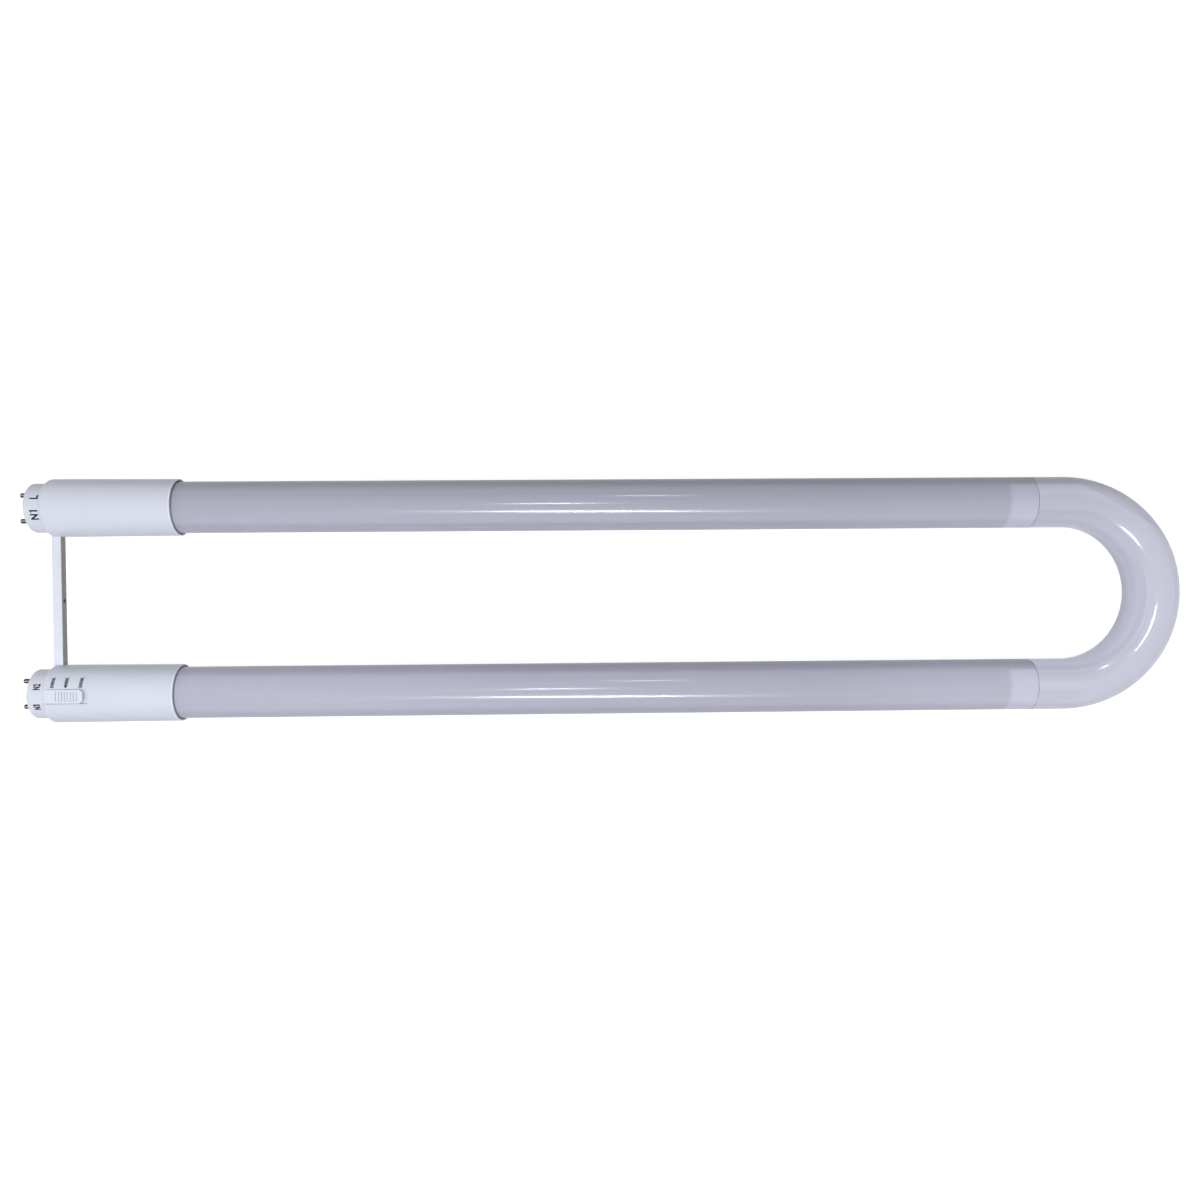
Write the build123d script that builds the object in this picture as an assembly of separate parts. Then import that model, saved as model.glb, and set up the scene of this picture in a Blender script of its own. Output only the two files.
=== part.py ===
from build123d import *
import os
from math import floor, sqrt

# U-bend LED tube: two glass legs, a moulded bend, two bi-pin caps, a spacer bar and a light colour switch.
# Millimetres. The lamp lies flat on its caps: X runs along the legs from the pins to the bend, Y across them, Z up.
# The origin is under the middle of the lamp. Each leg's pieces are drawn about the leg's own axis, with X measured
# from the face that the pins stand on, and are then moved to the leg's place.

# How far a cut runs past the surface it starts from, and the largest share of a half width that a round may take
CUT_OVERRUN = 1.0
ROUND_LIMIT = 0.9

# Lamp
LEG_SPACING = 92.0
BASE_TO_BEND = 571.5

# Glass legs
TUBE_OD = 25.6
TUBE_WALL = 0.9
TUBE_IN_CAP = 22.0
TUBE_FIT = 0.1
TUBE_EDGE = 0.2

# Moulded bend, with a spigot inside each leg
BEND_STRAIGHT = 17.2
SPIGOT_LENGTH = 14.5
SPIGOT_WALL = 0.8
SPIGOT_FIT = 0.1
BEND_EDGE = 0.2

# Caps: a nose that carries the pins, a rounded shoulder and a long collar over the glass
NOSE_LENGTH = 8.0
NOSE_EDGE = 0.7
NOSE_WALL = 1.6
END_WALL = 2.5
SHOULDER_STEP = 2.15
SHOULDER_ROUND = 1.9
NECK_THICKNESS = 2.2
COLLAR_LENGTH = 63.0
COLLAR_WALL = 1.15
COLLAR_TAPER = 0.25
LEAD_IN = 0.45
LEAD_IN_LENGTH = 1.2
MOUTH_EDGE = 0.3

# Contact pins
PIN_DIAMETER = 2.35
PIN_PROUD = 7.6
PIN_SPACING = 12.7
PIN_TIP_ROUND = 0.7
SHANK_DIAMETER = 2.9
SHANK_FIT = 0.03
FLANGE_DIAMETER = 4.4
FLANGE_THICKNESS = 1.0
TAB_WIDTH = 1.8
TAB_THICKNESS = 0.6
TAB_ON_BOARD = 5.5

# Spacer bar between the caps, just behind their shoulders
BAR_INSET = 0.25
BAR_WIDTH = 4.7
BAR_DEPTH = 4.6
BAR_EDGE = 0.5
BAR_SEAT = 0.05
TENON_INSET = 0.9
TENON_LENGTH = 1.5
TENON_FIT = 0.1
NUB_RADIUS = 0.7
NUB_HEIGHT = 0.35

# Light colour switch on the second cap
SWITCH_TRAVEL = 2.0
SLIDER_INSET = 2.0
SLIDER_LENGTH = 18.4
SLIDER_WIDTH = 6.9
SLIDER_ROUND = 2.4
SLIDER_PROUD = 0.35
SLIDER_EDGE = 0.25
SLIDE_PLAY = 0.15
POCKET_FLOOR = 0.85
RIB_COUNT = 8
RIB_PITCH = 1.42
RIB_GROOVE = 0.65
RIB_DEPTH = 0.4
RIB_MARGIN = 1.0
RIBS_FROM_END = 10.6
BARB_REACH = 0.5
BARB_HEIGHT = 0.8
KNOB_LENGTH = 2.0
KNOB_WIDTH = 1.6
KNOB_GRIP = 2.6
KNOB_ROOT = 1.0
KNOB_PLAY = 0.1
STEM_WALL = 0.7
STEM_CLEAR = 1.4
CASE_LENGTH = 9.2
CASE_WIDTH = 4.6
CASE_HEIGHT = 4.4

# Driver boards, held in rails inside the caps
BOARD_LENGTH = 58.0
BOARD_THICKNESS = 1.6
BOARD_EDGE_GAP = 0.4
RAIL_LENGTH = 34.0
RAIL_GRIP = 1.0
RAIL_HEIGHT = 1.0
RAIL_PLAY = 0.1
RAIL_ROOT = 0.3

# Pieces on the first driver board
FUSE_DIAMETER = 6.6
FUSE_HEIGHT = 6.8
FUSE_EDGE = 0.8
VARISTOR_DIAMETER = 7.0
VARISTOR_THICKNESS = 3.2
VARISTOR_STAND = 1.0
LEAD_DIAMETER = 0.7
FILM_LENGTH = 10.0
FILM_WIDTH = 4.6
FILM_HEIGHT = 7.6
FILM_EDGE = 0.6
CHOKE_DIAMETER = 8.0
CHOKE_HEIGHT = 7.2
CHOKE_FLANGE = 1.2
CHOKE_CORE = 3.6
CHOKE_WIND = 7.0
WIND_GAP = 0.1
BRIDGE_LENGTH = 4.8
BRIDGE_WIDTH = 3.9
BRIDGE_HEIGHT = 2.5

# Pieces on the second driver board
CHIP_LENGTH = 4.9
CHIP_WIDTH = 3.9
CHIP_HEIGHT = 1.5
CHIP_LEGS = 4
CHIP_LEG_PITCH = 1.27
CHIP_LEG_WIDTH = 0.42
CHIP_LEG_REACH = 1.0
CHIP_LEG_THICKNESS = 0.25
CORE_LENGTH = 10.0
CORE_WIDTH = 8.6
CORE_HEIGHT = 7.8
CORE_LIMB = 1.6
WINDING_OVERHANG = 1.0
WINDING_EDGE = 0.8
CAN_DIAMETER = 8.0
CAN_HEIGHT = 9.0
CAN_GROOVE = 0.5
CAN_GROOVE_AT = 1.6

# Header that joins a driver board to its LED board
HEADER_LENGTH = 2.6
HEADER_WIDTH = 5.2
HEADER_HEIGHT = 2.5
HEADER_FROM_END = 3.0
LINK_PITCH = 2.54
LINK_DIAMETER = 0.7
LINK_FIT = 0.06
LINK_PROUD = 0.9

# LED boards, bonded to the bottom of the glass
LED_BOARD_WIDTH = 10.0
LED_BOARD_THICKNESS = 1.0
LED_BOARD_LAP = 6.0
LED_BOARD_CLEAR = 1.5
LED_PITCH = 10.0
LED_LENGTH = 3.5
LED_WIDTH = 2.8
LED_HEIGHT = 0.7
LED_FROM_END = 12.0
BOND_GAP = 0.05
BOND_INSET = 0.6

# Wires through the bend
WIRE_DIAMETER = 1.4
WIRE_PITCH = 3.2
WIRE_ON_BOARD = 5.0

# Radii and stations that follow from the sizes above
tube_r = TUBE_OD / 2
bore_r = tube_r - TUBE_WALL
spigot_r = bore_r - SPIGOT_FIT
bend_bore_r = spigot_r - SPIGOT_WALL
seat_r = tube_r + TUBE_FIT
mouth_r = seat_r + COLLAR_WALL
collar_r = mouth_r + COLLAR_TAPER
nose_r = collar_r - SHOULDER_STEP
nose_bore_r = nose_r - NOSE_WALL
pin_r = PIN_DIAMETER / 2
shank_r = SHANK_DIAMETER / 2
half_spacing = LEG_SPACING / 2

cap_length = NOSE_LENGTH + COLLAR_LENGTH
tube_start = cap_length - TUBE_IN_CAP
neck_end = NOSE_LENGTH + NECK_THICKNESS
taper_start = NOSE_LENGTH + 2 * SHOULDER_ROUND
bar_at = NOSE_LENGTH + BAR_INSET + BAR_WIDTH / 2
bend_centre = BASE_TO_BEND - tube_r - half_spacing
seam = bend_centre - BEND_STRAIGHT
spigot_end = seam - SPIGOT_LENGTH

# Heights above a leg's axis
board_top = -TAB_THICKNESS / 2
board_bottom = board_top - BOARD_THICKNESS
led_board_bottom = -sqrt((bore_r - BOND_GAP) ** 2 - (LED_BOARD_WIDTH / 2) ** 2)
led_board_top = led_board_bottom + LED_BOARD_THICKNESS
pocket_floor = bore_r + POCKET_FLOOR
slider_bottom = pocket_floor + SLIDE_PLAY
slider_top_r = collar_r + SLIDER_PROUD

board_half = sqrt(bore_r ** 2 - board_bottom ** 2) - BOARD_EDGE_GAP
board_end = neck_end + BOARD_LENGTH
link_at = board_end - HEADER_FROM_END
led_board_start = board_end - LED_BOARD_LAP
led_board_end = spigot_end - LED_BOARD_CLEAR
tab_end = neck_end + TAB_ON_BOARD

# The switch, from its knob outwards
slider_start = NOSE_LENGTH + SLIDER_INSET
slider_end = slider_start + SLIDER_LENGTH
stem_at = slider_start + RIBS_FROM_END
stem_length = KNOB_LENGTH + 2 * (KNOB_PLAY + STEM_WALL)
stem_width = KNOB_WIDTH + 2 * (KNOB_PLAY + STEM_WALL)
case_top = board_top + CASE_HEIGHT
stem_bottom = case_top + STEM_CLEAR
knob_top = stem_bottom + KNOB_GRIP
barb_half = stem_width / 2 + BARB_REACH
barb_top = sqrt(bore_r ** 2 - barb_half ** 2) - SLIDE_PLAY

# The lamp's place: on the floor, with its middle over the origin
base_x = PIN_PROUD - (PIN_PROUD + BASE_TO_BEND) / 2
axis_z = collar_r
leg_a = Pos(base_x, half_spacing, axis_z)
leg_b = Pos(base_x, -half_spacing, axis_z)
TOWARDS_B = -1
TOWARDS_A = 1


def rod(radius, start, end):
    """A round bar along X."""
    upright = Cylinder(radius, end - start, align=(Align.CENTER, Align.CENTER, Align.MIN))
    return Pos(start, 0, 0) * Rot(0, 90, 0) * upright


def block(x0, x1, y0, y1, z0, z1):
    """A box between two corners."""
    return Pos(x0, y0, z0) * Box(x1 - x0, y1 - y0, z1 - z0, align=(Align.MIN, Align.MIN, Align.MIN))


def pad(x, y, z, length, width, height):
    """A box that stands on height z, centred on x and y."""
    return Pos(x, y, z) * Box(length, width, height, align=(Align.CENTER, Align.CENTER, Align.MIN))


def post(x, y, z, radius, height):
    """An upright round post that stands on height z."""
    return Pos(x, y, z) * Cylinder(radius, height, align=(Align.CENTER, Align.CENTER, Align.MIN))


def turned(corners, rounds=()):
    """A solid turned about X from the (x, radius) corners of its half section, with some corners rounded."""
    section = make_face(Polyline(*corners, close=True))
    for corner, radius in rounds:
        section = fillet(section.vertices().sort_by_distance(corner)[0], radius)
    return revolve(section, Axis.X)


def turned_up(corners, x, y, z):
    """A solid turned about an upright axis from (radius, height) corners, standing at a place."""
    section = Plane.XZ * make_face(Polyline(*corners, close=True))
    return Pos(x, y, z) * revolve(section, Axis.Z)


def stations(start, end, lengths):
    """The middle of each piece in a row along X, spread between two ends with the same gap all through."""
    gap = (end - start - sum(lengths)) / (len(lengths) + 1)
    middles = []
    edge = start + gap
    for length in lengths:
        middles.append(edge + length / 2)
        edge += length + gap
    return middles


# Glass and bend


def leg_tube():
    """A straight glass leg, from its stop inside the cap to its seam with the bend."""
    corners = [(tube_start, bore_r), (tube_start, tube_r), (seam, tube_r), (seam, bore_r)]
    edges = [((tube_start, tube_r), TUBE_EDGE), ((seam, tube_r), TUBE_EDGE)]
    return turned(corners, edges)


def bend_arm():
    """The straight end of the bend, with the spigot that goes inside a leg."""
    corners = [
        (spigot_end, bend_bore_r),
        (spigot_end, spigot_r),
        (seam, spigot_r),
        (seam, tube_r),
        (bend_centre, tube_r),
        (bend_centre, bend_bore_r),
    ]
    edges = [((spigot_end, spigot_r), min(BEND_EDGE, ROUND_LIMIT * SPIGOT_WALL)), ((seam, tube_r), BEND_EDGE)]
    return turned(corners, edges)


def u_bend():
    """The half-round bend and its two arms, moulded in one."""
    centre = (base_x + bend_centre, 0, axis_z)
    mouth = Plane(origin=(base_x + bend_centre, half_spacing, axis_z), x_dir=(0, 1, 0), z_dir=(1, 0, 0))
    section = mouth * (Circle(tube_r) - Circle(bend_bore_r))
    half_ring = revolve(section, Axis(centre, (0, 0, -1)), 180)
    return half_ring + leg_a * bend_arm() + leg_b * bend_arm()


def bend_wires():
    """Two insulated wires that join the LED boards, flat on their ends and round the bend."""
    start = base_x + led_board_end - WIRE_ON_BOARD
    turn = base_x + bend_centre
    height = axis_z + led_board_top + WIRE_DIAMETER / 2
    wires = []
    for offset in (-WIRE_PITCH / 2, WIRE_PITCH / 2):
        radius = half_spacing + offset
        out = Line((start, radius, height), (turn, radius, height))
        round_bend = ThreePointArc((turn, radius, height), (turn + radius, 0, height), (turn, -radius, height))
        back = Line((turn, -radius, height), (start, -radius, height))
        ring = Plane(origin=(start, radius, height), z_dir=(1, 0, 0)) * Circle(WIRE_DIAMETER / 2)
        wires.append(sweep(ring, path=out + round_bend + back))
    return Compound(children=wires)


# Caps


def collar_body(clearance=0):
    """The collar as a solid, with its rounded shoulder and slim taper, grown by a clearance for what seats on it."""
    front = NOSE_LENGTH - clearance
    back = cap_length + clearance
    shoulder = (front, collar_r + clearance)
    mouth = (back, mouth_r + clearance)
    corners = [(front, 0), shoulder, (taper_start, collar_r + clearance), mouth, (back, 0)]
    shoulder_round = min(SHOULDER_ROUND, ROUND_LIMIT * SHOULDER_STEP)
    return turned(corners, [(shoulder, shoulder_round + clearance), (mouth, MOUTH_EDGE + clearance)])


def cap_bore():
    """The stepped hollow of a cap: for the driver board, for the glass and the lead-in at its mouth."""
    corners = [
        (END_WALL, 0),
        (END_WALL, nose_bore_r),
        (neck_end, nose_bore_r),
        (neck_end, bore_r),
        (tube_start, bore_r),
        (tube_start, seat_r),
        (cap_length - LEAD_IN_LENGTH, seat_r),
        (cap_length, seat_r + LEAD_IN),
        (cap_length, 0),
    ]
    return turned(corners)


def cap_shell():
    """Nose, shoulder and collar: the end wall takes the pins and the stepped bore takes the board and the glass."""
    nose = turned([(0, 0), (0, nose_r), (neck_end, nose_r), (neck_end, 0)], [((0, nose_r), NOSE_EDGE)])
    return collar_body() + nose - cap_bore()


def board_rails():
    """Ledges above and below both edges of the driver board, grown out of the cap's bore."""
    rails = []
    inner = board_half - RAIL_GRIP
    for low in (board_bottom - RAIL_HEIGHT, board_top + RAIL_PLAY):
        for y0, y1 in ((inner, collar_r), (-collar_r, -inner)):
            rails.append(block(neck_end, neck_end + RAIL_LENGTH, y0, y1, low, low + RAIL_HEIGHT))
    return (rails[0] + rails[1] + rails[2] + rails[3]) & rod(bore_r + RAIL_ROOT, neck_end, neck_end + RAIL_LENGTH)


def pin_holes():
    """The two holes in the end wall that the pins' shanks fill."""
    holes = rod(shank_r + SHANK_FIT, 0, END_WALL)
    return Pos(0, PIN_SPACING / 2, 0) * holes + Pos(0, -PIN_SPACING / 2, 0) * holes


def bar_socket(side):
    """The blind socket in the collar for one tenon of the spacer bar."""
    half_x = BAR_WIDTH / 2 - TENON_INSET + TENON_FIT
    half_z = BAR_DEPTH / 2 - TENON_INSET + TENON_FIT
    deep = collar_r - TENON_LENGTH - TENON_FIT
    faces = sorted((side * deep, side * (collar_r + CUT_OVERRUN)))
    return block(bar_at - half_x, bar_at + half_x, *faces, -half_z, half_z)


def end_cap(side):
    """A cap with its rails, its pin holes and the spacer bar's socket on the side that faces the other leg."""
    return cap_shell() + board_rails() - pin_holes() - bar_socket(side)


def switch_pocket():
    """The slider's recess, open at the shoulder, and the slot in its floor for the stem."""
    half_width = SLIDER_WIDTH / 2 + SLIDE_PLAY
    pocket_end = slider_end + SWITCH_TRAVEL + SLIDE_PLAY
    recess = block(0, pocket_end, -half_width, half_width, pocket_floor, collar_r + CUT_OVERRUN)
    slot_length = stem_length + 2 * (SWITCH_TRAVEL + SLIDE_PLAY)
    slot = pad(stem_at, 0, 0, slot_length, stem_width + 2 * SLIDE_PLAY, slider_top_r)
    return recess + slot


def end_cap_with_switch():
    """The second cap, with the switch's pocket in its top."""
    return end_cap(TOWARDS_A) - switch_pocket()


def pin(side):
    """A contact pin: round tip, free length, shank in the end wall, flange behind it and a flat tab on the board."""
    corners = [
        (-PIN_PROUD, 0),
        (-PIN_PROUD, pin_r),
        (0, pin_r),
        (0, shank_r),
        (END_WALL, shank_r),
        (END_WALL, FLANGE_DIAMETER / 2),
        (END_WALL + FLANGE_THICKNESS, FLANGE_DIAMETER / 2),
        (END_WALL + FLANGE_THICKNESS, 0),
    ]
    half_tab = TAB_WIDTH / 2
    tab = block(END_WALL, tab_end, -half_tab, half_tab, board_top, board_top + TAB_THICKNESS)
    return Pos(0, side * PIN_SPACING / 2, 0) * (turned(corners, [((-PIN_PROUD, pin_r), PIN_TIP_ROUND)]) + tab)


def spacer_bar():
    """The bar between the collars: saddle ends, a tenon into each collar and a moulding nub on its inner side."""
    reach = half_spacing - collar_r - BAR_SEAT
    bar = Box(BAR_WIDTH, 2 * half_spacing, BAR_DEPTH)
    bar = fillet(bar.edges().filter_by(Axis.Y), min(BAR_EDGE, ROUND_LIMIT * min(BAR_WIDTH, BAR_DEPTH) / 2))
    seat = collar_body(BAR_SEAT)
    bar = bar - Pos(-bar_at, half_spacing, 0) * seat - Pos(-bar_at, -half_spacing, 0) * seat
    bar = bar & Box(2 * BAR_WIDTH, 2 * half_spacing - collar_r, 2 * BAR_DEPTH)
    tenon_tip = reach + BAR_SEAT + TENON_LENGTH
    tenons = Box(BAR_WIDTH - 2 * TENON_INSET, 2 * tenon_tip, BAR_DEPTH - 2 * TENON_INSET)
    nub = rod(NUB_RADIUS, 0, BAR_WIDTH / 2 + NUB_HEIGHT)
    return Pos(base_x + bar_at, 0, axis_z) * (bar + tenons + nub)


# Switch


def switch_slider():
    """The ribbed slider: curved top, rounded inner end, and a barbed stem that grips the switch's knob."""
    half_width = SLIDER_WIDTH / 2
    plan = make_face(
        Polyline(
            (slider_start, -half_width),
            (slider_end, -half_width),
            (slider_end, half_width),
            (slider_start, half_width),
            close=True,
        )
    )
    plan = fillet(plan.vertices().sort_by(Axis.X)[-2:], min(SLIDER_ROUND, ROUND_LIMIT * half_width))
    cap = Pos(0, 0, slider_bottom) * extrude(plan, slider_top_r - slider_bottom)
    cap = cap & rod(slider_top_r, 0, slider_end)
    top_edges = cap.faces().filter_by(GeomType.CYLINDER).sort_by(Axis.Z)[-1].edges()
    cap = fillet(top_edges, SLIDER_EDGE) - rib_grooves()
    stem = pad(stem_at, 0, stem_bottom, stem_length, stem_width, slider_bottom - stem_bottom)
    barbs = pad(stem_at, 0, barb_top - BARB_HEIGHT, stem_length, 2 * barb_half, BARB_HEIGHT)
    grip_length = KNOB_LENGTH + 2 * KNOB_PLAY
    grip = pad(stem_at, 0, stem_bottom, grip_length, KNOB_WIDTH + 2 * KNOB_PLAY, KNOB_GRIP + KNOB_PLAY)
    return cap + stem + barbs - grip


def rib_grooves():
    """The grooves between the thumb ribs, all of one depth below the slider's curved top."""
    first = stem_at - (RIB_COUNT - 1) * RIB_PITCH / 2
    width = SLIDER_WIDTH - 2 * RIB_MARGIN
    grooves = [pad(first + n * RIB_PITCH, 0, 0, RIB_GROOVE, width, 2 * collar_r) for n in range(RIB_COUNT)]
    return Compound(children=grooves) - rod(slider_top_r - RIB_DEPTH, 0, slider_end)


def switch_case():
    """The slide switch's case on the driver board, with the slot that its knob runs in."""
    case = pad(stem_at, 0, board_top, CASE_LENGTH, CASE_WIDTH, CASE_HEIGHT)
    slot_length = KNOB_LENGTH + 2 * (SWITCH_TRAVEL + KNOB_PLAY)
    slot_floor = case_top - KNOB_ROOT - KNOB_PLAY
    return case - pad(stem_at, 0, slot_floor, slot_length, KNOB_WIDTH + 2 * KNOB_PLAY, CASE_HEIGHT)


def switch_knob():
    """The knob between the case and the slider's stem."""
    return pad(stem_at, 0, case_top - KNOB_ROOT, KNOB_LENGTH, KNOB_WIDTH, knob_top - case_top + KNOB_ROOT)


# Driver boards and what stands on them


def driver_board():
    """A driver board, from the neck of its cap into the glass, with the holes for its link pins."""
    board = block(neck_end, board_end, -board_half, board_half, board_bottom, board_top)
    return board - link_holes(board_bottom, BOARD_THICKNESS)


def link_places():
    """Where the two link pins stand."""
    return [(link_at, -LINK_PITCH / 2), (link_at, LINK_PITCH / 2)]


def link_holes(low, height):
    """Holes for the two link pins."""
    holes = [post(x, y, low, LINK_DIAMETER / 2 + LINK_FIT, height) for x, y in link_places()]
    return holes[0] + holes[1]


def link_header():
    """The plastic header under the end of a driver board."""
    low = board_bottom - HEADER_HEIGHT
    return pad(link_at, 0, low, HEADER_LENGTH, HEADER_WIDTH, HEADER_HEIGHT) - link_holes(low, HEADER_HEIGHT)


def link_pins():
    """Two pins that stand on the LED board and come up through the header and the driver board."""
    height = board_top + LINK_PROUD - led_board_top
    return Compound(children=[post(x, y, led_board_top, LINK_DIAMETER / 2, height) for x, y in link_places()])


link_start = link_at - LINK_DIAMETER / 2
fuse_at, varistor_at, film_at, choke_at, bridge_at = stations(
    tab_end, link_start, [FUSE_DIAMETER, VARISTOR_THICKNESS, FILM_LENGTH, CHOKE_DIAMETER, BRIDGE_LENGTH]
)
case_end = stem_at + CASE_LENGTH / 2
chip_at, core_at, can_at = stations(case_end, link_start, [CHIP_LENGTH, CORE_LENGTH, CAN_DIAMETER])


def fuse():
    """The upright fuse can."""
    can = post(fuse_at, 0, board_top, FUSE_DIAMETER / 2, FUSE_HEIGHT)
    return fillet(can.edges().sort_by(Axis.Z)[-1], min(FUSE_EDGE, ROUND_LIMIT * FUSE_DIAMETER / 2))


def varistor():
    """The surge disc, on its two leads."""
    radius = VARISTOR_DIAMETER / 2
    middle = board_top + VARISTOR_STAND + radius
    disc = Pos(0, 0, middle) * rod(radius, varistor_at - VARISTOR_THICKNESS / 2, varistor_at + VARISTOR_THICKNESS / 2)
    lead = post(varistor_at, 0, board_top, LEAD_DIAMETER / 2, VARISTOR_STAND + radius)
    return disc + Pos(0, radius / 2, 0) * lead + Pos(0, -radius / 2, 0) * lead


def film_capacitor():
    """The input filter's film capacitor."""
    box = pad(film_at, 0, board_top, FILM_LENGTH, FILM_WIDTH, FILM_HEIGHT)
    return fillet(box.edges().filter_by(Axis.Z), min(FILM_EDGE, ROUND_LIMIT * FILM_WIDTH / 2))


def choke_core():
    """The choke's ferrite spool."""
    flange = CHOKE_DIAMETER / 2
    core = CHOKE_CORE / 2
    top = CHOKE_HEIGHT
    corners = [(0, 0), (flange, 0), (flange, CHOKE_FLANGE), (core, CHOKE_FLANGE), (core, top - CHOKE_FLANGE)]
    corners += [(flange, top - CHOKE_FLANGE), (flange, top), (0, top)]
    return turned_up(corners, choke_at, 0, board_top)


def choke_winding():
    """The wire wound on the spool."""
    inner = CHOKE_CORE / 2 + WIND_GAP / 2
    outer = CHOKE_WIND / 2
    top = CHOKE_HEIGHT - CHOKE_FLANGE - WIND_GAP
    corners = [(inner, CHOKE_FLANGE), (outer, CHOKE_FLANGE), (outer, top), (inner, top)]
    return turned_up(corners, choke_at, 0, board_top)


def bridge_rectifier():
    """The bridge rectifier, with two flat legs on each side."""
    legs = [-BRIDGE_LENGTH / 4, BRIDGE_LENGTH / 4]
    return flat_pack(bridge_at, BRIDGE_LENGTH, BRIDGE_WIDTH, BRIDGE_HEIGHT, legs)


def control_chip():
    """The driver's control chip, with its legs along both sides."""
    legs = [(n - (CHIP_LEGS - 1) / 2) * CHIP_LEG_PITCH for n in range(CHIP_LEGS)]
    return flat_pack(chip_at, CHIP_LENGTH, CHIP_WIDTH, CHIP_HEIGHT, legs)


def flat_pack(x, length, width, height, legs):
    """A moulded package flat on the board, with bent legs along both long sides."""
    body = pad(x, 0, board_top, length, width, height)
    foot_half = width / 2 + CHIP_LEG_REACH
    knee_half = foot_half - CHIP_LEG_REACH / 2
    knee_top = board_top + height / 2
    for leg in legs:
        body += pad(x + leg, 0, board_top, CHIP_LEG_WIDTH, 2 * foot_half, CHIP_LEG_THICKNESS)
        body += pad(x + leg, 0, board_top, CHIP_LEG_WIDTH, 2 * knee_half, knee_top - board_top)
    return body


def transformer_core():
    """The ferrite frame round the transformer's winding."""
    frame = pad(core_at, 0, board_top, CORE_LENGTH, CORE_WIDTH, CORE_HEIGHT)
    window = core_window()
    return frame - pad(core_at, 0, board_top + CORE_LIMB, window, 2 * CORE_WIDTH, CORE_HEIGHT - 2 * CORE_LIMB)


def core_window():
    """The length of the window through the core."""
    return CORE_LENGTH - 2 * CORE_LIMB


def transformer_winding():
    """The taped winding that fills the core's window and stands out on both sides."""
    length = core_window() - WIND_GAP
    height = CORE_HEIGHT - 2 * CORE_LIMB - WIND_GAP
    width = CORE_WIDTH + 2 * WINDING_OVERHANG
    winding = pad(core_at, 0, board_top + CORE_LIMB, length, width, height)
    return fillet(winding.edges().filter_by(Axis.Z), min(WINDING_EDGE, ROUND_LIMIT * width / 2))


def bulk_capacitor():
    """The electrolytic can, with the crimp groove above its base."""
    radius = CAN_DIAMETER / 2
    waist = radius - CAN_GROOVE
    low = CAN_GROOVE_AT - CAN_GROOVE
    high = CAN_GROOVE_AT + CAN_GROOVE
    corners = [(0, 0), (radius, 0), (radius, low), (waist, CAN_GROOVE_AT), (radius, high)]
    corners += [(radius, CAN_HEIGHT), (0, CAN_HEIGHT)]
    return turned_up(corners, can_at, 0, board_top)


# LED boards


def led_board():
    """The long LED board in a leg."""
    half = LED_BOARD_WIDTH / 2
    return block(led_board_start, led_board_end, -half, half, led_board_bottom, led_board_top)


def board_bond():
    """The silicone bead under the LED board, shaped by the glass."""
    half = LED_BOARD_WIDTH / 2 - BOND_INSET
    slab = block(led_board_start, led_board_end, -half, half, -tube_r, led_board_bottom)
    return slab & rod(bore_r - BOND_GAP, led_board_start, led_board_end)


def leds():
    """The row of LEDs along a board, clear of the link pins and of the bend's wires."""
    first = led_board_start + LED_FROM_END
    last = led_board_end - LED_FROM_END
    count = floor((last - first) / LED_PITCH) + 1
    places = [first + n * LED_PITCH for n in range(count)]
    return Compound(children=[pad(x, 0, led_board_top, LED_LENGTH, LED_WIDTH, LED_HEIGHT) for x in places])


NODES = {
    "leg_tube_a": leg_a * leg_tube(),
    "leg_tube_b": leg_b * leg_tube(),
    "u_bend": u_bend(),
    "bend_wires": bend_wires(),
    "end_cap_a": leg_a * end_cap(TOWARDS_B),
    "end_cap_b": leg_b * end_cap_with_switch(),
    "pin_l": leg_a * pin(1),
    "pin_n1": leg_a * pin(-1),
    "pin_n2": leg_b * pin(1),
    "pin_n3": leg_b * pin(-1),
    "spacer_bar": spacer_bar(),
    "switch_slider": leg_b * switch_slider(),
    "switch_knob": leg_b * switch_knob(),
    "switch_case": leg_b * switch_case(),
    "driver_board_a": leg_a * driver_board(),
    "fuse": leg_a * fuse(),
    "varistor": leg_a * varistor(),
    "film_capacitor": leg_a * film_capacitor(),
    "choke_core": leg_a * choke_core(),
    "choke_winding": leg_a * choke_winding(),
    "bridge_rectifier": leg_a * bridge_rectifier(),
    "link_header_a": leg_a * link_header(),
    "link_pins_a": leg_a * link_pins(),
    "driver_board_b": leg_b * driver_board(),
    "control_chip": leg_b * control_chip(),
    "transformer_core": leg_b * transformer_core(),
    "transformer_winding": leg_b * transformer_winding(),
    "bulk_capacitor": leg_b * bulk_capacitor(),
    "link_header_b": leg_b * link_header(),
    "link_pins_b": leg_b * link_pins(),
    "led_board_a": leg_a * led_board(),
    "board_bond_a": leg_a * board_bond(),
    "leds_a": leg_a * leds(),
    "led_board_b": leg_b * led_board(),
    "board_bond_b": leg_b * board_bond(),
    "leds_b": leg_b * leds(),
}

os.makedirs("parts", exist_ok=True)
for name, shape in NODES.items():
    export_step(shape, f"parts/{name}.step")
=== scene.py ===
"""Looks of a U-bend LED tube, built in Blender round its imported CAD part.

The CAD nodes keep their shapes and get finishes made of shader nodes: moulded plastic, plated pins and the pieces
on the boards. The glass legs and the bend are spun again, so that their gloss runs smoothly. New here are the
printed marks on the caps and the sealant where the glass meets the bend.
"""

import math
from typing import NamedTuple

import bmesh
import bpy
from bpy.props import FloatProperty, FloatVectorProperty, PointerProperty
from bpy.types import Operator, Panel, PropertyGroup
from mathutils import Euler, Matrix, Vector
from mathutils.bvhtree import BVHTree


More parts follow.
